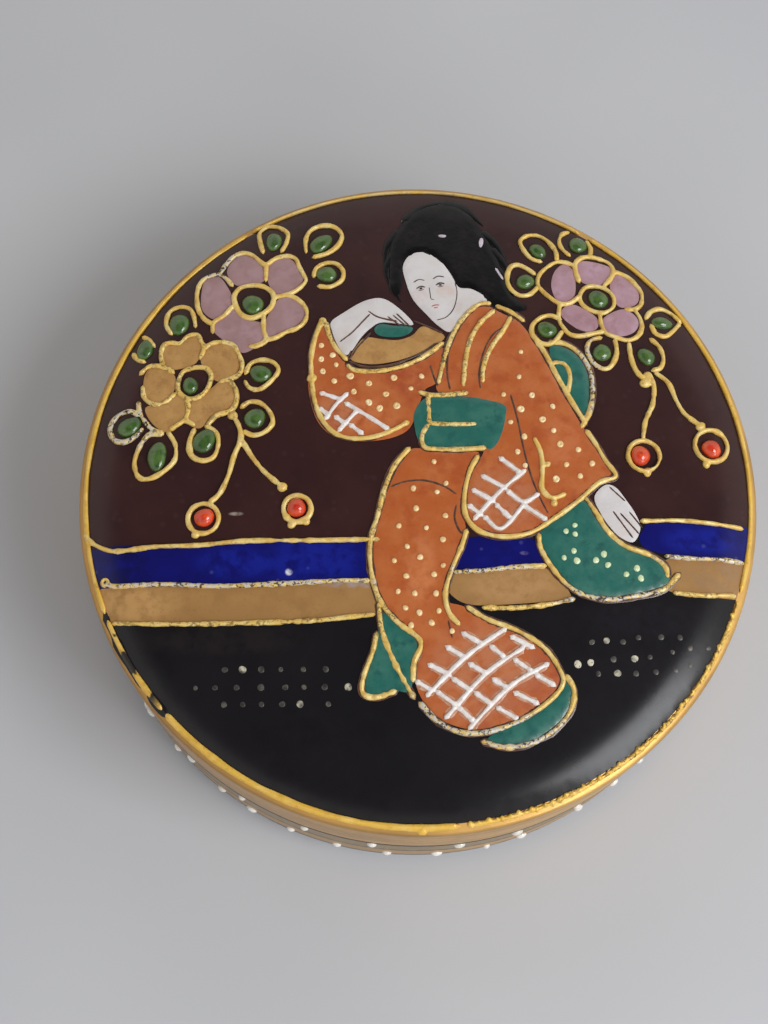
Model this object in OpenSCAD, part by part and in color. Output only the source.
// Round lidded pill box with raised slip lines, enamel fields and enamel drops on the lid.
// The origin is on the table under the middle of the foot; +Z is up and -Y faces the viewer.

/* [Box] */
// Outside diameter of the base and of the lid
box_d = 76; // [70:1:84]
// Height of the seam between base and lid above the table
seam_z = 13.5; // [12:0.5:16]
// Height from the seam to the foot of the raised rim line
lid_h = 11.5; // [10:0.5:14]
// Thickness of the base's wall
wall_t = 3.8; // [3:0.1:4.5]
// Thickness of the lid's skirt
skirt_t = 1.8; // [1.5:0.1:2.4]
// Thickness of the lid's top
top_t = 2.4; // [2:0.1:3]

/* [Fit] */
// Gap between the base's neck and the lid's skirt
neck_gap = 0.3; // [0.2:0.05:0.5]
// Height of the neck above the seam
neck_h = 4; // [3:0.5:5]
// Height of the foot ring
foot_h = 1.3; // [1:0.1:2]

/* [Crown] */
// Radius of the lid's broad crown
crown_r = 300; // [250:10:400]
// Radius of the shoulder that follows the crown
shoulder_r = 12; // [10:1:14]
// Radius of the edge between the shoulder and the side
edge_r = 0.8; // [0.6:0.1:1.2]
// Width of the shoulder and the edge together
shoulder_w = 5; // [4.5:0.1:5.5]

/* [Decoration] */
// Thickness of the ground enamels
ground_t = 0.12; // [0.08:0.01:0.2]
// Thickness of the coloured fields on the ground
field_t = 0.12; // [0.08:0.01:0.2]
// Height of the raised lines above the ground
line_h = 0.5; // [0.3:0.05:0.7]
// Width of the raised lines
line_w = 0.7; // [0.5:0.05:0.9]
// Width of the white lattice strokes
lattice_w = 0.5; // [0.4:0.05:0.6]
// Width of the rim line
rim_w = 0.8; // [0.6:0.1:1]
// Number of white dots under the seam
upper_dots = 30; // [20:1:36]
// Number of white dots near the foot
lower_dots = 42; // [30:1:48]

/* [Hidden] */
$fn = 180;

box_r = box_d / 2;
art = box_d / 76;
floor_t = 1.9;
bore_r = box_r - wall_t;
skirt_in_r = box_r - skirt_t;
neck_r = skirt_in_r - neck_gap;
foot_r = [box_r - 5.5, box_r - 3.5];
chamfer = 0.35;
fillet_r = 3;
rim_out = box_r - 0.5;
rim_in = rim_out - rim_w;
cap_facets = 32;
// Radius and height of each kind of drop
dot = [0.4, 0.2];
faint_dot = [0.4, 0.15];
wall_dot = [0.4, 0.38];
leaf_bead = [1.05, 0.6];
blossom_bead = [1.1, 0.7];
berry_bead = [1.05, 0.9];
upper_dots_z = seam_z - 1.6;
lower_dots_z = foot_h + 2.6;
// How far the wall's dots wander round it, in degrees, and up it, and the steps that keep them uneven
dot_sway = 2;
dot_wander = 0.3;
dot_steps = [137, 71];
// The lid's ceiling droops towards the corner that joins it to the skirt
ceiling_droop = 1.6;
corner_r = 5;
// Inner and outer edge of the ring of slip round a blossom's bead, as shares of its middle line
eye_edges = [0.85, 1.15];

// The lid's profile is three arcs, each tangent to the next, measured from the crown's top
crown_end = box_r - shoulder_w;
crown_a = asin(crown_end / crown_r);
shoulder_c = [crown_end - shoulder_r * sin(crown_a), (crown_r - shoulder_r) * cos(crown_a) - crown_r];
edge_a = asin((box_r - edge_r - shoulder_c[0]) / (shoulder_r - edge_r));
edge_c = [box_r - edge_r, shoulder_c[1] + (shoulder_r - edge_r) * cos(edge_a)];
rim_drop = shoulder_c[1] + sqrt(shoulder_r ^ 2 - (rim_in - shoulder_c[0]) ^ 2);
top_z = seam_z + lid_h - rim_drop;

// Points on an arc, the angle counted from straight up towards +X
function arc(c, r, from, to, steps) =
    [for (i = [0:steps]) let (a = from + (to - from) * i / steps) c + r * [sin(a), cos(a)]];
function crown_line() = concat(arc([0, -crown_r], crown_r, 0, crown_a, 7),
    [for (p = arc(shoulder_c, shoulder_r, crown_a, edge_a, 7)) if (p[0] > crown_end + 0.01) p]);
function edge_line() =
    [for (p = arc(edge_c, edge_r, edge_a, 90, 4)) if (p[1] < shoulder_c[1] + shoulder_r * cos(edge_a) - 0.01) p];
function raised(points, z) = [for (p = points) p + [0, z]];
function turned(points) = [for (i = [len(points) - 1:-1:0]) points[i]];
// Height of the lid's clay surface at radius r
function crown_z(r) = top_z + (r < crown_end ? sqrt(crown_r ^ 2 - r ^ 2) - crown_r
    : shoulder_c[1] + sqrt(shoulder_r ^ 2 - (r - shoulder_c[0]) ^ 2));

// Slope of the lid's clay surface at radius r
function crown_slope(r) = r < crown_end ? asin(r / crown_r) : asin((r - shoulder_c[0]) / shoulder_r);

// Smooth curves through hand-set points
function between(a, b, c, d, t) =
    0.5 * (2 * b + (c - a) * t + (2 * a - 5 * b + 4 * c - d) * t ^ 2 + (3 * b - a - 3 * c + d) * t ^ 3);
function curve(p, n = 3) = let (last = len(p) - 1, e = concat([2 * p[0] - p[1]], p, [2 * p[last] - p[last - 1]]))
    [for (i = [0:last - 1], j = [0:n - 1]) between(e[i], e[i + 1], e[i + 2], e[i + 3], j / n), p[last]];
function loop(p, n = 3) = let (k = len(p))
    [for (i = [0:k - 1], j = [0:n - 1]) between(p[(i + k - 1) % k], p[i], p[(i + 1) % k], p[(i + 2) % k], j / n)];
function unit(v) = v / norm(v);
function along(c, i) = unit(c[min(i + 1, len(c) - 1)] - c[max(i - 1, 0)]);
function left(c, i) = let (t = along(c, i)) [-t[1], t[0]];
function stroke_line(c, h) = let (n = len(c) - 1) concat(
    [for (i = [0:n]) c[i] + h * left(c, i)],
    [for (a = [45:45:135]) c[n] + h * (cos(a) * left(c, n) + sin(a) * along(c, n))],
    [for (i = [n:-1:0]) c[i] - h * left(c, i)],
    [for (a = [45:45:135]) c[0] - h * (cos(a) * left(c, 0) + sin(a) * along(c, 0))]);

// A line of slip, an area of enamel, a ring of slip
module stroke(points, width = line_w) polygon(stroke_line(curve(points), width / 2));
module field(points) polygon(loop(points, 2));
module slip_ring(c, r, width = line_w) translate(c) difference() {
    circle(r + width / 2);
    circle(r - width / 2);
}
// Everything between two heights above the lid's clay surface
module crown_band(low, high) translate([0, 0, top_z]) rotate_extrude()
    polygon(concat(raised(crown_line(), high), turned(raised(crown_line(), low))));
module on_lid(low, high) intersection() {
    linear_extrude(top_z + 5) scale(art) children();
    crown_band(low, high);
}
module ground_layer() on_lid(0, ground_t) children();
module field_layer() on_lid(ground_t, ground_t + field_t) children();
module line_layer() on_lid(ground_t, ground_t + line_h) children();
// A drop of enamel of a radius and height: a cap cut from a ball, its flat side down
module cap(size) let (r = size[0], h = size[1], ball = (r ^ 2 + h ^ 2) / (2 * h)) intersection() {
    translate([0, 0, h - ball]) sphere(ball, $fn = cap_facets);
    translate([0, 0, h]) cube([3 * r, 3 * r, 2 * h], center = true);
}
// Drops that stand square to the lid's surface, at a height above the clay
module drops(places, size, low = ground_t) for (p = art * places) let (d = norm(p))
    translate([p[0], p[1], crown_z(d) + low]) rotate([0, crown_slope(d), atan2(p[1], p[0])]) cap(size);

// Outlines of the lid's fields, on a lid 76 mm across
brown_edge = [[-40, -7.2], [-5.3, -6.8], [13, -6.2], [24, -4.2], [40, -4.4]];
black_edge = [[-40, -15.2], [-5, -14.9], [4.8, -13.9], [16.2, -12.9], [28, -12], [40, -12]];
left_pink = [
    [[-21.7, 26], [-21.3, 27.2], [-20.4, 27.9], [-19.3, 27.5], [-18.3, 26.5], [-18.1, 25.2], [-19.4, 24.5],
        [-20.9, 24.7]],
    [[-17.1, 25.2], [-17, 26.5], [-15.9, 27.4], [-14.8, 27.1], [-14.1, 26], [-13.7, 24.9], [-15, 23.2],
        [-16.4, 23.7]],
    [[-16.2, 21.6], [-15.4, 22.3], [-14.2, 22], [-13.2, 20.6], [-14.2, 19.2], [-15.8, 18.3], [-17, 17.9],
        [-17.1, 19.6]],
    [[-21.4, 20.9], [-22.8, 19.7], [-22.9, 18.5], [-21.5, 17.2], [-20, 16.2], [-18.3, 17.4], [-18.1, 19],
        [-19.6, 19.6]],
    [[-24.6, 23.8], [-24.2, 24.9], [-23.1, 25], [-22.2, 23.8], [-21.7, 22.5], [-22, 21.1], [-23.1, 20.4],
        [-24.5, 21.5]]];
left_gold = [
    [[-28.9, 15.5], [-28.6, 16.6], [-27.4, 16.7], [-25.6, 17.7], [-25, 16.8], [-25.3, 15.2], [-26.2, 14.4],
        [-28.2, 14.2]],
    [[-24, 16], [-22.8, 16.6], [-21.5, 16.5], [-20.8, 15.4], [-20.7, 14], [-21.4, 12.8], [-22.9, 12.8],
        [-24.2, 14.5]],
    [[-22.1, 12], [-21.3, 11], [-21.5, 9.2], [-23.2, 8.3], [-24.3, 7.1], [-25.6, 7.8], [-25.4, 9.4],
        [-23.6, 10.8]],
    [[-27.2, 10.3], [-26.5, 9], [-26.8, 7.6], [-28.2, 6.6], [-29.6, 7.5], [-30.3, 9], [-29, 9.4]],
    [[-30.8, 12], [-30.5, 13.4], [-29.4, 13.8], [-28.1, 13], [-27.8, 11.9], [-28.3, 10.7], [-29.4, 10.1],
        [-30.5, 10.8]]];
right_pink = [
    [[15.6, 24.6], [16, 26], [16.9, 26.8], [17.7, 26.2], [17.9, 24.9], [17.7, 23.4], [16.7, 22.7],
        [15.9, 23.2]],
    [[18.5, 26.9], [19.6, 27.5], [21.8, 27.1], [22.2, 26.4], [21.5, 25.3], [20.4, 24.9], [19.1, 25.3]],
    [[23.1, 25.8], [24.3, 25.3], [25.2, 24.1], [25.1, 22.9], [24.2, 22.3], [23.1, 22.5], [22.5, 24.4]],
    [[22.4, 20.9], [23.6, 21.3], [24.6, 20.7], [24.9, 19.8], [24.3, 18.9], [23, 18.5], [21.8, 19],
        [21.5, 20.1]],
    [[17.8, 21.7], [16.9, 21.2], [16.8, 20.4], [18, 19.3], [19.3, 18.9], [20.1, 19.4], [20.1, 20.3],
        [19.2, 21.1]]];
sleeve_field = [[-11.3, 19.2], [-12.2, 17], [-12.5, 14], [-12.4, 10.5], [-11.4, 7.2], [-9.6, 5.4], [-7, 4.8],
    [-4, 5], [-1.8, 5.8], [-0.8, 7], [0, 9.4], [0.6, 11], [2, 12], [2.7, 14.5], [2.6, 16.2], [0.3, 14.7],
    [-3, 13.5], [-6, 13.1], [-8.1, 14], [-9.4, 16], [-10.4, 18.3]];
bodice_field = [[7, 21.8], [5.2, 20], [4, 18], [3, 15.5], [2.2, 12.8], [2, 10.8], [4.6, 9], [7, 7], [7, 3.6],
    [5.8, 1.8], [5.1, -0.6], [4.9, -3.4], [6.4, -5.4], [9, -6], [12, -5.6], [15, -3.8], [17.6, -1.7],
    [20.4, 0.8], [21.2, 1.6], [19.6, 4.6], [17.8, 7.6], [16, 11.2], [13.6, 16.2], [11.6, 19.4], [9.6, 20.6]];
skirt_field = [[-1.2, 3.8], [2, 3.6], [6.4, 3.6], [5.6, 1.8], [4.9, -0.6], [4.6, -3.2], [4.9, -5.4],
    [4.2, -7.8],
    [3, -10.6], [2.8, -13.2], [4.6, -13.9], [7.4, -15.4], [10.4, -16.6], [13.2, -18.4], [14.9, -21],
    [14.4, -23], [11.6, -25.3], [8, -26.9], [4.8, -27], [1.6, -25.8], [0, -23.8], [-0.7, -21.6],
    [-0.3, -18], [-2.2, -16], [-4.2, -13.6], [-5.2, -10], [-5.2, -6.4], [-4.4, -2.6], [-3.4, 0.4]];
sash_field = [[-0.5, 8.6], [-0.6, 6.4], [0.1, 4.5], [2, 4.1], [6.8, 4.1], [8, 4], [9, 5.6], [9.6, 8],
    [9.5, 9.2],
    [7.6, 9.8], [5, 10.2], [1.2, 10.2]];
bow_field = [[14.9, 16.8], [16.2, 16.6], [17.6, 15.9], [18.7, 14.4], [19.2, 12.2], [19, 9.8], [18.6, 8.2],
    [17.6, 9.4], [16.2, 12], [15, 14.6]];
lining_field = [[17.9, -1.8], [19.2, -3.8], [20.6, -5.7], [23, -7.4], [25.8, -8.4], [27.2, -10.2],
    [26.6, -11.2],
    [23.6, -12.1], [20, -12.6], [16.9, -11.8], [14.6, -9.4], [13.4, -7.2], [13.1, -5.5], [15.6, -3.6]];
hem_field = [[15.4, -21.4], [16.1, -22.6], [15.8, -24.6], [14.4, -26.4], [12.4, -27.8], [9.8, -28.6],
    [7, -28.2],
    [8.2, -27.2], [11.8, -25.6], [14.7, -23.2]];
train_field = [[-4.2, -14.6], [-2.3, -16.2], [-0.5, -17.8], [-0.9, -20.4], [-1.2, -23], [-3, -23],
    [-5.4, -23.6],
    [-6, -22.4], [-5.3, -19.4], [-4.7, -17.2]];
fan_field = [[-7.8, 14.9], [-7, 16.5], [-6, 17.4], [-4.2, 17.2], [-2.4, 17.1], [-0.8, 17.7], [0.3, 18.8],
    [1.8, 18.4], [2.9, 17.5], [1.6, 16.4], [-0.4, 15.3], [-2.6, 14.5], [-5, 14.1], [-7, 14.3]];
patch_field = [[-5.1, 18.5], [-4.4, 19.1], [-3, 18.9], [-1.6, 18.9], [-0.7, 18.6], [-1.2, 17.9], [-2.3, 17.5],
    [-3.8, 17.5], [-4.8, 17.8]];
hand_field = [[-10, 19.4], [-8.5, 20.6], [-6.5, 21.9], [-4.8, 22.4], [-3.6, 22.1], [-2.2, 21], [-1, 19.7],
    [-0.7, 19], [-2, 19.1], [-4.3, 19.3], [-5.5, 18.6], [-6.6, 17.4], [-7.6, 15.8], [-8.4, 15.2],
    [-9.3, 16.5],
    [-9.9, 18.2]];
lower_hand_field = [[19.2, -1.4], [20.4, 0], [21.6, -0.2], [22.7, -1.6], [23.7, -3.2], [24.2, -4.8],
    [23.4, -6.4],
    [22, -6], [20.8, -4.8], [19.8, -3.2]];
face_field = [[-1.8, 26.6], [-0.9, 28.1], [0.8, 28.4], [2.6, 27.2], [3.8, 25.4], [4.6, 23.9], [6, 23.7],
    [7.4, 22.9],
    [8, 22.1], [6.3, 21.4], [5, 20.2], [3.6, 18.2], [2.2, 18.9], [0.8, 20.4], [-0.7, 22.3], [-1.5, 24.6]];
hair_field = [[-3.2, 24], [-3.3, 27], [-3, 30], [-1.4, 32.8], [1, 34.6], [3.6, 35], [6, 33.6], [7.6, 31],
    [9, 28],
    [9.9, 25], [10.6, 23], [12.4, 21.4], [10.4, 20.9], [8.6, 21.9], [7.4, 23], [6, 23.8], [4.6, 24],
    [3.8, 25.5],
    [2.6, 27.3], [0.8, 28.5], [-0.9, 28.2], [-1.9, 26.7], [-1.9, 24.6], [-2.4, 22.8]];

// Runs of raised slip
left_pink_lines = [
    [[-22.9, 26], [-22.3, 27.1], [-21.4, 28.2], [-20.3, 28.6], [-19.2, 28.2], [-18.3, 27.3], [-17.6, 26.9],
        [-16.5, 27.7], [-15.2, 28], [-14.2, 27.6], [-13.8, 26.6], [-13.2, 25.4], [-13, 24.6], [-14, 23.5],
        [-15.3, 22.9],
        [-16.5, 22.6]],
    [[-15.3, 22.9], [-14.2, 22.5], [-13.2, 21.6], [-12.8, 20.6], [-13, 19.5], [-13.9, 18.6], [-15, 18.2],
        [-16.2, 17.5], [-17.3, 17.2]],
    [[-17.6, 26.9], [-17.6, 24.8]], [[-23, 25.8], [-22.2, 25.2], [-21.4, 24.2]],
    [[-17.7, 20.4], [-17.7, 18.6], [-17.4, 17.2], [-18.4, 16.5], [-19.4, 16.4]],
    [[-21.3, 21.6], [-22.2, 20.4], [-23.4, 19.5], [-23.5, 18.2]],
    [[-23, 25.8], [-24.2, 25.6], [-25.1, 24.9], [-25.5, 23.4], [-25.3, 21.4], [-24.6, 20.1], [-23.6, 19.3]]];
left_pink_eye = [[-21.2, 22.6], [-20.6, 23.8], [-19.3, 24.2], [-17.8, 24], [-16.7, 23], [-16.8, 21.6],
    [-17.7, 20.6], [-19.2, 20], [-20.5, 20.7]];
left_gold_lines = [
    [[-31.6, 13.3], [-30.6, 14.2], [-29.4, 14.2], [-28.4, 13.8], [-27.7, 13.3]],
    [[-29, 14.3], [-29.3, 15.6], [-29, 16.8], [-28.2, 17.1], [-27.2, 17], [-26.3, 17.9], [-25.2, 18],
        [-24.8, 17.2],
        [-24.4, 16.3], [-24.8, 15]],
    [[-24.3, 16.3], [-23.4, 16.9], [-22.2, 17], [-21.1, 16.6], [-20.5, 15.6], [-20, 14.2], [-20.3, 13],
        [-21.4, 12.4], [-22.5, 12.1]],
    [[-21.3, 12.2], [-20.6, 11], [-20.5, 9.8], [-21.1, 8.6], [-22.7, 8], [-23.7, 6.9]],
    [[-26.1, 10.1], [-25.9, 8.8], [-26.3, 7.6], [-27.9, 6.4]], [[-26.3, 7.6], [-25.1, 6.9]],
    [[-31.2, 11.8], [-31, 10.5], [-30.2, 9.7], [-29.2, 9.5], [-28.2, 10], [-27.5, 10.8]]];
left_gold_eye = [[-27.2, 12], [-26.7, 13.4], [-25.4, 13.9], [-24.1, 13.8], [-23.5, 13], [-23.7, 11.6],
    [-24.6, 10.4],
    [-25.9, 10.1], [-27, 10.9]];
right_pink_lines = [
    [[18.1, 27.1], [17.1, 27.5], [16, 27.5], [14.8, 26.7], [13.9, 25.6], [13.8, 24.3], [14.9, 23],
        [16.2, 22.1],
        [17.4, 22.2], [18.6, 23.2]],
    [[18.6, 25], [18.3, 26], [18.2, 27.2], [18.7, 28], [19.8, 28.4], [21.2, 28.2], [22.3, 27.7], [22.7, 26.7],
        [22.3, 25.6], [21.4, 24.5]],
    [[22.8, 26.6], [24.2, 26.1], [25.3, 25], [25.9, 23.8], [25.7, 22.4], [24.9, 21.7], [23.8, 21.7]],
    [[24.9, 21.6], [25.5, 20.5], [25.6, 19.3], [25, 18.2], [23.9, 17.7], [22.6, 18], [21.4, 18.5],
        [20.9, 19.6],
        [20.8, 20.9]],
    [[21.2, 18.7], [20, 18.4], [18.4, 18], [17.2, 18.2], [16.5, 19], [16, 20.2], [16.2, 22]]];
right_pink_eye = [[18.6, 23.2], [19.2, 24.2], [20.3, 24.5], [21.7, 24.1], [22.5, 23.1], [22.4, 21.9],
    [21.3, 21.1],
    [19.9, 21.3], [18.8, 22.1]];
left_leaf_lines = [
    [[-18, 28.5], [-18.4, 30], [-18.5, 31.4], [-17.6, 32.3], [-16.2, 32], [-15.2, 31], [-15.4, 29.6],
        [-15.9, 28.6]],
    [[-13, 28.4], [-13.1, 30], [-12.6, 31.3], [-11.4, 32], [-9.9, 31.9], [-8.9, 30.8], [-9.3, 29.4],
        [-10.6, 28.3],
        [-12.2, 27.8]],
    [[-12.1, 25.2], [-11.8, 26.3], [-10.7, 27], [-9.5, 26.9], [-8.7, 25.9], [-8.9, 24.7], [-10.2, 23.9],
        [-11.6, 24]],
    [[-28.2, 18.2], [-28.9, 19.5], [-28.6, 21.1], [-27.4, 21.7], [-26.2, 21.3], [-25.7, 20.2], [-25.5, 19]],
    [[-31.6, 18.2], [-30.8, 17.6], [-30.1, 16.7]], [[-32.6, 16.1], [-32, 15.2], [-31.1, 14.8]],
    [[-19.6, 13.1], [-19, 14.3], [-17.7, 14.7], [-16.4, 14.3], [-15.9, 13.3], [-16.8, 12], [-18, 11.1],
        [-19.1, 11.3],
        [-19.7, 12.2]],
    [[-20, 8.9], [-19, 9.6], [-17.8, 9.4], [-16.8, 8.4], [-16.4, 7.1], [-17.2, 6], [-18.5, 5.6],
        [-19.7, 6.1]],
    [[-31.6, 9.9], [-31.4, 8.6], [-30.6, 7.3], [-29.8, 6.5], [-28.6, 6.1]],
    [[-31.4, 8.2], [-32.6, 8.8], [-34, 8.2], [-34.7, 6.9], [-34.2, 5.5], [-33, 5.1], [-31.8, 5.7],
        [-30.9, 6.7]],
    [[-28.7, 5.9], [-30.2, 5.9], [-31.2, 4.5], [-31.7, 2.6], [-31.2, 1], [-30, 0.7], [-28.3, 1.6],
        [-27.2, 2.9],
        [-27.2, 4.6], [-28.1, 6.2]],
    [[-25.1, 6.5], [-25.6, 5], [-25.4, 3.4], [-24.2, 2.7], [-22.9, 3.1], [-22.4, 4.6], [-22.7, 6],
        [-23.9, 6.8]]];
right_leaf_lines = [
    [[14.3, 27.5], [13.1, 27.9], [12.2, 29.1], [11.9, 30.2], [12.7, 30.9], [14, 31], [15.2, 30.2], [16, 28.9],
        [16.1, 27.7]],
    [[17.7, 28.4], [16.8, 29.3], [16.5, 30.4], [16.9, 31.4], [17.8, 31.9]], [[19.8, 30.8], [20.2, 29.6],
        [20, 28.3]],
    [[13.5, 25.8], [12.6, 26.5], [11.5, 27], [10.6, 26.6], [10.2, 25.2], [10.5, 23.9], [11.6, 23],
        [12.8, 23.2],
        [13.8, 24.2]],
    [[16.2, 20.1], [15, 20.5], [13.8, 20.1], [12.9, 19.1], [13, 17.8], [14.1, 16.9], [15.3, 17.1],
        [16.4, 18.6]],
    [[20.8, 17.9], [19.6, 17.5], [19.1, 16.4], [19.6, 14.9], [20.8, 14], [21.8, 14.4], [22.5, 16],
        [22.4, 17.8]],
    [[26.1, 20.5], [26.8, 21.5], [28, 22], [29.3, 21.5], [30.4, 20.5]],
    [[26.7, 19.8], [27.2, 18.7], [28.3, 18.4], [29.3, 19.2], [30.2, 20.3]],
    [[24, 17.4], [24.1, 15.8], [24.5, 14.2], [25.2, 13.2], [25.9, 13.1]],
    [[26.5, 18], [27.5, 17], [27.9, 15.6], [27.5, 14.4], [26.5, 14]]];
stem_lines = [
    [[-20.9, 8], [-20.2, 6.8], [-19.9, 5.2], [-20.6, 3.2], [-21.2, 0.8], [-22.1, -1.2], [-23.2, -2.2]],
    [[-19.9, 5.2], [-18.7, 3.2], [-17.4, 1.5], [-16, 0.2], [-14.8, -0.7]],
    [[26.1, 13.6], [26.6, 12], [26.3, 9.8], [25.4, 7.8], [25, 5.7]],
    [[26.8, 13.8], [28.3, 12.5], [29.1, 10.4], [30, 8.8], [31.8, 7.4]]];
berries = [[-23.7, -3.9], [-13.6, -2.9], [24.7, 3.7], [32.8, 4.8]];
berry_rings = [[-23.8, -4, 1.7], [-13.5, -3, 1.5], [25, 3.6, 1.8], [32.8, 5.1, 1.9]];
leaf_drops = [[-16.8, 30], [-11.3, 29.6], [-10.6, 25.5], [-27.4, 19.4], [-31.2, 16.4], [-17.9, 13],
    [-18.4, 7.6],
    [-32.5, 6.9], [-29.2, 3.3], [-24, 5], [13.9, 28.9], [18.7, 30], [12.3, 24.8], [14.6, 18.7], [20.8, 16],
    [28, 20.1], [25.9, 15.7]];
blossom_drops = [[-19, 21.7], [-25.8, 11.7], [20.7, 22.8]];
band_lines = [
    [[-36, -6.3], [-34.6, -7.2], [-33, -7.5], [-29, -7.1], [-24, -7], [-19, -6.6], [-12, -6.6], [-4.6, -6.5]],
    [[-34.2, -11], [-33, -11.4], [-28, -11.3], [-22, -11.6], [-15, -11.4], [-9, -11.1], [-5.6, -11.1]],
    [[-33.4, -15.4], [-28, -15.7], [-20, -15.7], [-12, -15.5], [-8, -15.1], [-5, -14.8]],
    [[3.6, -10.1], [7, -9.9], [10, -9.5], [13.6, -9.3]],
    [[6.6, -14], [10, -14], [13.6, -13.6], [16.6, -12.9]],
    [[24.3, -4], [28.5, -3.8], [32, -4], [35.9, -4.4]], [[26.8, -7.9], [30, -8.1], [33, -8.1], [35.8, -8.3]],
    [[27.6, -12], [31, -12.2], [34.6, -12]]];
robe_lines = [
    [[-11.1, 19.4], [-11.8, 17.4], [-12.2, 15], [-12.1, 12], [-11.7, 9.4], [-10.8, 7.2], [-9.4, 5.7],
        [-7.4, 5.1],
        [-5.2, 5.3], [-3, 6.1], [-1.3, 7.1]],
    [[-10.6, 19.3], [-10.2, 17.6], [-9.4, 16], [-8.2, 14.6]],
    [[-8.2, 14], [-7.2, 13.3], [-5, 13.2], [-3, 13.5], [-1, 14.2], [1, 15.4], [2.7, 16.8]],
    [[8.2, 21.9], [6.8, 21.7], [5, 19.9], [3.8, 17.8], [2.9, 15.2], [2.1, 11.8]],
    [[8.6, 21], [7, 19.4], [5.8, 17.2], [5.2, 14.6], [4.9, 11.5]],
    [[10.5, 20.2], [9.6, 18.5], [8.1, 16.2], [7.2, 13.8], [7.1, 12]], [[8.8, 21.6], [10.4, 20.9], [12, 19.7]],
    [[12.7, 5.4], [13.4, 3.6], [13.5, 1.2], [13.4, -0.6], [14.5, -1.6], [16, -1.1]],
    [[18.6, 6.4], [19.6, 4.8], [20.6, 2.9], [21.7, 1.1], [19.8, 0.3], [17.6, -1.7], [15, -3.7],
        [12, -5.6], [9, -6.1],
        [6.4, -5.5], [5, -3.9], [4.8, -1.6], [5.4, 1.2], [6.4, 3.2]],
    [[-1.2, 4], [-2.8, 2], [-3.9, -0.6], [-4.7, -3.8], [-5.5, -6.8], [-5.4, -10], [-4.5, -13.2],
        [-2.6, -15.6],
        [-0.1, -17.7], [-0.8, -20], [-0.9, -22]],
    [[5, -5.4], [4.4, -7.3], [3.2, -10.2], [2.6, -12.6], [3, -14.6], [4.1, -15.9]],
    [[4.9, -13.9], [7.2, -15.3], [10.4, -16.5], [13.2, -18.3], [14.8, -20.6], [15.1, -22.2], [13.6, -24],
        [10.6, -26], [7.4, -27.2], [4.4, -27.4], [1.8, -26.3], [-0.2, -24.3]]];
sash_bow_lines = [
    [[-0.2, 10.7], [1.4, 10.3], [3.4, 10.4], [5.4, 10.7]], [[0.9, 10.1], [1, 8.4], [1, 7]],
    [[1, 6.9], [3.6, 6.8], [6.3, 6.9]], [[0.9, 6.8], [0.2, 5.4], [0.5, 4.1], [2, 3.9], [4.6, 3.9],
        [7.2, 4.1]],
    [[12.9, 18], [14.2, 15.8], [15.4, 13.2], [17, 10], [18.6, 7.2]],
    [[14.7, 17.1], [16.4, 17], [18.1, 15.9], [19.3, 13.8], [19.5, 11.2], [19.1, 8.8], [18.1, 6.8]],
    [[15.1, 14.6], [16.4, 14.4], [17, 13], [16.7, 10.9]]];
lining_lines = [
    [[12.9, -5.7], [13.1, -7.4], [14.2, -9.4], [15.8, -11.3], [17.8, -12.5], [20.6, -12.9], [23.6, -12.4],
        [26.4, -11.7], [28.3, -9.9]],
    [[18.2, -1.5], [19.4, -3.3], [20.5, -5.2], [22.4, -6.9], [25, -7.8], [26.7, -9], [27, -10.3]],
    [[15.5, -21.2], [16.3, -22.8], [15.9, -24.9], [14.4, -26.8], [12, -28.3], [9, -28.9], [6.4, -28.3]],
    [[-4.6, -13.5], [-4.2, -16.6], [-2.9, -20], [-0.8, -23.8]],
    [[-4.8, -16.8], [-5.2, -18.8], [-6.2, -21.6], [-6.2, -23.3], [-4.8, -23.7], [-2.7, -23]]];
lattice_lines = [
    [[-10.9, 10.5], [-9, 9.8]], [[-8.3, 10.3], [-9.4, 9.1], [-10.4, 7.6]], [[-11.1, 8.6], [-10.3, 8]],
    [[-8.1, 9.2], [-5.6, 7.6], [-3.7, 6.3]], [[-7.2, 8.2], [-8.9, 6.2]], [[-9.3, 7.6], [-8.4, 6.9]],
    [[-7.6, 6.6], [-6.6, 5.8]],
    [[11.4, 1.4], [8.6, -1.1], [6, -4]], [[9, 2.8], [10.8, 1.4]], [[7, 0.7], [9.2, -0.5]], [[5.9, -0.9],
        [7.9, -2]],
    [[5.4, -2.7], [6.5, -3.6]], [[9.7, -1], [11.3, -2.1], [12.8, -1.3]], [[8.4, -2.6], [9.6, -3.8]],
    [[7.1, -4], [8.8, -5.2], [11.2, -2.6]], [[11.6, -2.7], [13.6, -4]],
    [[0.7, -23.4], [3.8, -20.2], [6.5, -18], [8.9, -16.4]], [[2.7, -25.7], [6.8, -21.2], [10.8, -18.4]],
    [[5.2, -26.8], [9.4, -22.5], [13.4, -20.1]], [[4.6, -16.9], [6.4, -17.9]], [[2.9, -18.4], [4.6, -19.4]],
    [[1, -20.3], [2.8, -21.2]], [[-0.4, -22.1], [1, -22.9]], [[9.8, -17.2], [11.8, -18.2]],
    [[7.6, -18.3], [8.7, -19.2]], [[5.3, -20.2], [6.7, -21]], [[3.5, -21.8], [5, -22.8]], [[1.8, -23.2],
        [3.5, -24.4]],
    [[10.1, -19.7], [11.6, -20.7]], [[7.8, -21.8], [8.9, -22.5]], [[5.9, -23.3], [7.3, -24.3]],
    [[4.1, -24.9], [5.3, -26]], [[12.4, -21.3], [14, -22.2]], [[10.1, -23.2], [12.2, -24.2]],
    [[8.2, -24.8], [10, -25.8]]];
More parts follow.
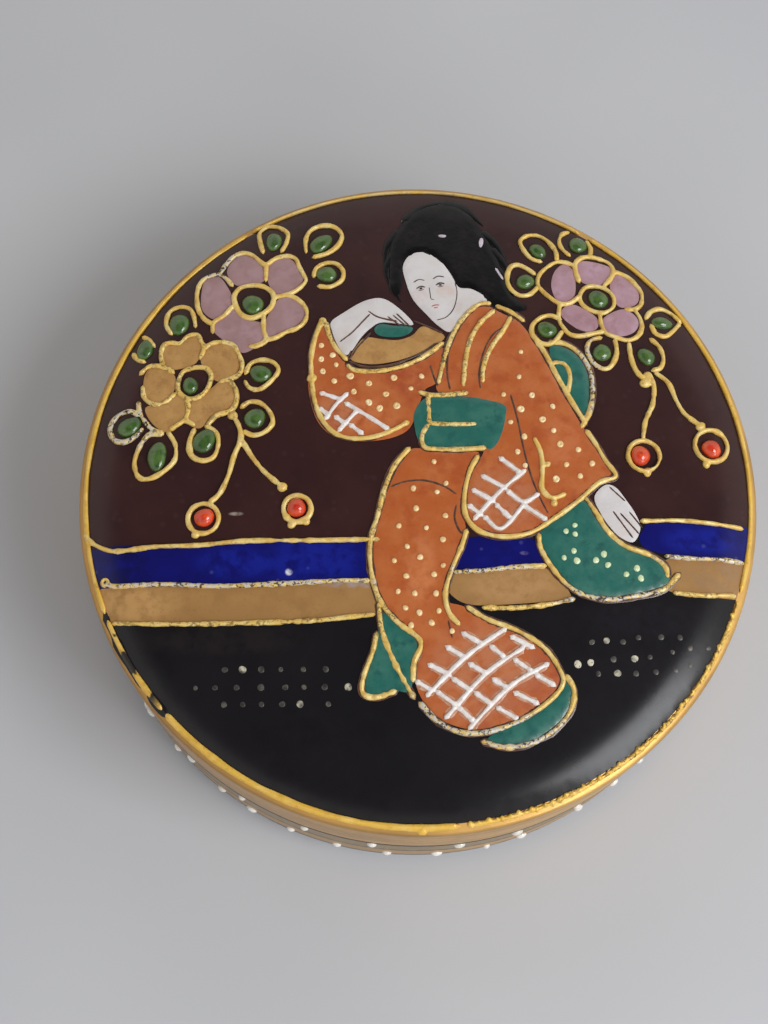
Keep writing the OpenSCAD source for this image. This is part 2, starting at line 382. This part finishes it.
robe_spots = [[-11.1, 16.4], [-11.1, 14.7], [-9.8, 15.2], [-9.4, 14], [-10.9, 13.2], [-7.8, 12.6], [-9.6, 12],
    [-7.4, 10.7], [-5.7, 11.7], [-2.9, 12.4], [-1, 11.1], [0.2, 12.6], [-3.8, 10.4], [-5.7, 9.4], [-4.5, 8.7],
    [-2.6, 9], [11.5, 15.8], [11.2, 12.7], [9.4, 10.5], [12.6, 10.5], [11.3, 8.8], [14.9, 9.2], [13.7, 7.6],
    [10.1, 7.2], [14.9, 6.3], [11.6, 5.5], [15.6, 4.7], [17.6, 4.1], [10.8, 3.7], [11.6, 2.1], [16.2, 2.3],
    [19.1, 2.5], [15, 0.6], [17.7, 1], [1.5, 2.4], [2.8, -0.1], [-0.8, -0.7], [1.8, -1.1], [-0.5, -3],
    [2.7, -3.8], [-2.4, -5], [0.6, -5.2], [2.4, -6.5], [-1.5, -7.3], [-0.1, -8.5], [-2.9, -8.9], [2.4, -9.4],
    [-1.6, -10.6], [1.4, -10.4], [-2.5, -12.3], [-0.7, -12.5], [1.6, -12.5], [-1.7, -14.1], [-0.2, -14.6],
    [1.9, -14.4], [1.1, -15.7], [-1.1, -16], [3.3, -16.6]];
lining_spots = [[16.9, -4.7], [15.9, -5.4], [16.9, -5.7], [16.7, -7.6], [15.6, -8.4], [17, -8.7], [20, -7.9],
    [19.1, -8.6], [20.4, -9.1], [23.6, -9.4], [22.4, -10.1], [24, -10.5]];
// The dots on the black ground stand in rows: first x and y, step in x and y, number of dots
ground_rows = [[-21, -20.7, 2.15, 0, 6], [-24.2, -22.6, 2.3, 0, 8], [-21, -24.4, 2.2, 0.05, 6],
    [18.4, -17.6, 1.9, 0.15, 6], [16.8, -20, 2, 0.3, 8], [19, -21.1, 2.1, 0.15, 5]];

// Base
module base_bowl() color("white") rotate_extrude() polygon(concat(
    [[0, foot_h], [foot_r[0], foot_h], [foot_r[0], 0], [foot_r[1], 0], [foot_r[1], foot_h]],
    turned(arc([box_r - edge_r, foot_h + edge_r], edge_r, 90, 180, 4)),
    [[box_r, seam_z - chamfer], [box_r - chamfer, seam_z], [neck_r, seam_z],
        [neck_r, seam_z + neck_h - chamfer],
        [neck_r - chamfer, seam_z + neck_h], [bore_r, seam_z + neck_h]],
    arc([bore_r - fillet_r, foot_h + floor_t + fillet_r], fillet_r, 90, 180, 6), [[0, foot_h + floor_t]]));
// White dots round the wall, their spacing and height a little uneven
module wall_dots(count, z) color("ivory") for (i = [0:count - 1])
    rotate(360 * i / count + dot_sway * sin(i * dot_steps[0]))
        translate([box_r, 0, z + dot_wander * sin(i * dot_steps[1])]) rotate([0, 90, 0]) cap(wall_dot);
module base_upper_dots() wall_dots(upper_dots, upper_dots_z);
module base_lower_dots() wall_dots(lower_dots, lower_dots_z);

// Lid
module lid_cover() color("white") translate([0, 0, top_z]) rotate_extrude() polygon(concat(
    crown_line(), edge_line(),
    [[box_r, seam_z + chamfer - top_z], [box_r - chamfer, seam_z - top_z], [skirt_in_r, seam_z - top_z]],
    turned(arc([skirt_in_r - corner_r, -top_t - ceiling_droop - corner_r], corner_r, 0, 90, 6)),
    [[0, -top_t]]));
module rim_trail() color("goldenrod") on_lid(0, line_h) difference() {
    circle(rim_out / art);
    circle(rim_in / art);
}
module ground_above(edge) intersection() {
    circle(rim_in / art);
    polygon(concat(edge, [[40, 40], [-40, 40]]));
}
module brown_ground() color("#3a2426") ground_layer() ground_above(brown_edge);
module black_ground() color("#1f1d1f") ground_layer() difference() {
    circle(rim_in / art);
    ground_above(brown_edge);
}
module inside_rim() intersection() {
    circle(rim_in / art);
    children();
}
module blue_bands() color("#15108a") field_layer() inside_rim() {
    polygon([[-40, -7.4], [-19, -6.8], [-5.5, -6.8], [-5.5, -11], [-15, -11.3], [-22, -11.5], [-40, -11.3]]);
    polygon([[5, -6.4], [12.8, -6.4], [13.6, -8.6], [13.8, -9.3], [4, -9.9]]);
    polygon([[24.4, -5.2], [26.6, -4.1], [40, -4.5], [40, -7.9], [31, -8], [26, -7.5], [24.2, -6.6]]);
}
module gold_bands() color("#b08a4c") field_layer() inside_rim() {
    polygon([[-40, -11.5], [-22, -11.7], [-15, -11.5], [-5.4, -11.2], [-4.9, -14.7], [-12, -15.3],
        [-28, -15.5],
        [-40, -15.2]]);
    polygon([[3.4, -10.4], [13.9, -9.6], [16, -12], [15.4, -13], [8, -13.7], [4.6, -13.5], [3, -12]]);
    polygon([[27.6, -8.2], [40, -8.5], [40, -12], [27.6, -11.9]]);
}
module band_trails() color("#e3bf66") line_layer() inside_rim() for (p = band_lines) stroke(p);

module left_pink_petals() color("#b894a6") field_layer() for (p = left_pink) field(p);
module left_gold_petals() color("#b08a4c") field_layer() for (p = left_gold) field(p);
module right_pink_petals() color("#caa5c5") field_layer() for (p = right_pink) field(p);
module blossom_trails(lines, eye, middle) color("#e3bf66") line_layer() {
    for (p = lines) stroke(p);
    difference() {
        polygon(loop([for (q = eye) middle + (q - middle) * eye_edges[1]]));
        polygon(loop([for (q = eye) middle + (q - middle) * eye_edges[0]]));
    }
}
module left_pink_blossom_trails() blossom_trails(left_pink_lines, left_pink_eye, [-19, 22.1]);
module left_gold_blossom_trails() blossom_trails(left_gold_lines, left_gold_eye, [-25.4, 12]);
module right_pink_blossom_trails() blossom_trails(right_pink_lines, right_pink_eye, [20.6, 22.8]);
module left_leaf_trails() color("#e3bf66") line_layer() for (p = left_leaf_lines) stroke(p);
module right_leaf_trails() color("#e3bf66") line_layer() inside_rim() for (p = right_leaf_lines) stroke(p);
module leaf_beads() color("#3f6b2a") drops(leaf_drops, leaf_bead);
module blossom_beads() color("#3f6b2a") drops(blossom_drops, blossom_bead);
module stem_trails() color("#e3bf66") line_layer() {
    for (p = stem_lines) stroke(p);
    for (b = berry_rings) slip_ring([b[0], b[1]], b[2]);
}
module berry_beads() color("#d1401f") drops(berries, berry_bead);

// Figure
module dress_shapes() {
    field(sleeve_field);
    field(bodice_field);
    field(skirt_field);
}
module skin_shapes() {
    field(hand_field);
    field(lower_hand_field);
    field(face_field);
}
module robe_enamel() color("#c2603a") field_layer() difference() {
    dress_shapes();
    field(sash_field);
    skin_shapes();
    field(fan_field);
    field(lining_field);
    field(bow_field);
    field(hair_field);
    field(hem_field);
    field(train_field);
}
module face_and_hands() color("#e8e4ea") field_layer() skin_shapes();
module hair() color("#1f1d1f") field_layer() difference() {
    field(hair_field);
    skin_shapes();
}
module fan_wash() color("#b08a4c") field_layer() difference() {
    field(fan_field);
    skin_shapes();
    field(patch_field);
}
module hand_patch() color("#137a70") field_layer() difference() {
    field(patch_field);
    skin_shapes();
}
module sash_enamel() color("#137a70") field_layer() field(sash_field);
module bow_enamel() color("#137a70") field_layer() field(bow_field);
module sleeve_lining() color("#137a70") field_layer() difference() {
    field(lining_field);
    skin_shapes();
}
module hem_lining() color("#137a70") field_layer() {
    field(hem_field);
    field(train_field);
}
module robe_trails() color("#e3bf66") line_layer() for (p = robe_lines) stroke(p);
module sash_and_bow_trails() color("#e3bf66") line_layer() for (p = sash_bow_lines) stroke(p);
module lining_trails() color("#e3bf66") line_layer() for (p = lining_lines) stroke(p);
module lattice_strokes() color("#e6dcd6") on_lid(ground_t + field_t, ground_t + line_h)
    for (p = lattice_lines) stroke(p, lattice_w);
module robe_dots() color("#f0cf80") drops(robe_spots, dot, ground_t + field_t);
module sleeve_dots() color("#cfe0a0") drops(lining_spots, dot, ground_t + field_t);
module ground_dots() color("#b9b9b4")
    drops([for (g = ground_rows, i = [0:g[4] - 1]) [g[0] + i * g[2], g[1] + i * g[3]]], faint_dot);

base_bowl();
base_upper_dots();
base_lower_dots();
lid_cover();
rim_trail();
brown_ground();
black_ground();
blue_bands();
gold_bands();
band_trails();
left_pink_petals();
left_gold_petals();
right_pink_petals();
left_pink_blossom_trails();
left_gold_blossom_trails();
right_pink_blossom_trails();
left_leaf_trails();
right_leaf_trails();
leaf_beads();
blossom_beads();
stem_trails();
berry_beads();
face_and_hands();
hair();
fan_wash();
hand_patch();
robe_enamel();
robe_trails();
robe_dots();
lattice_strokes();
sash_enamel();
bow_enamel();
sleeve_lining();
hem_lining();
sash_and_bow_trails();
lining_trails();
sleeve_dots();
ground_dots();
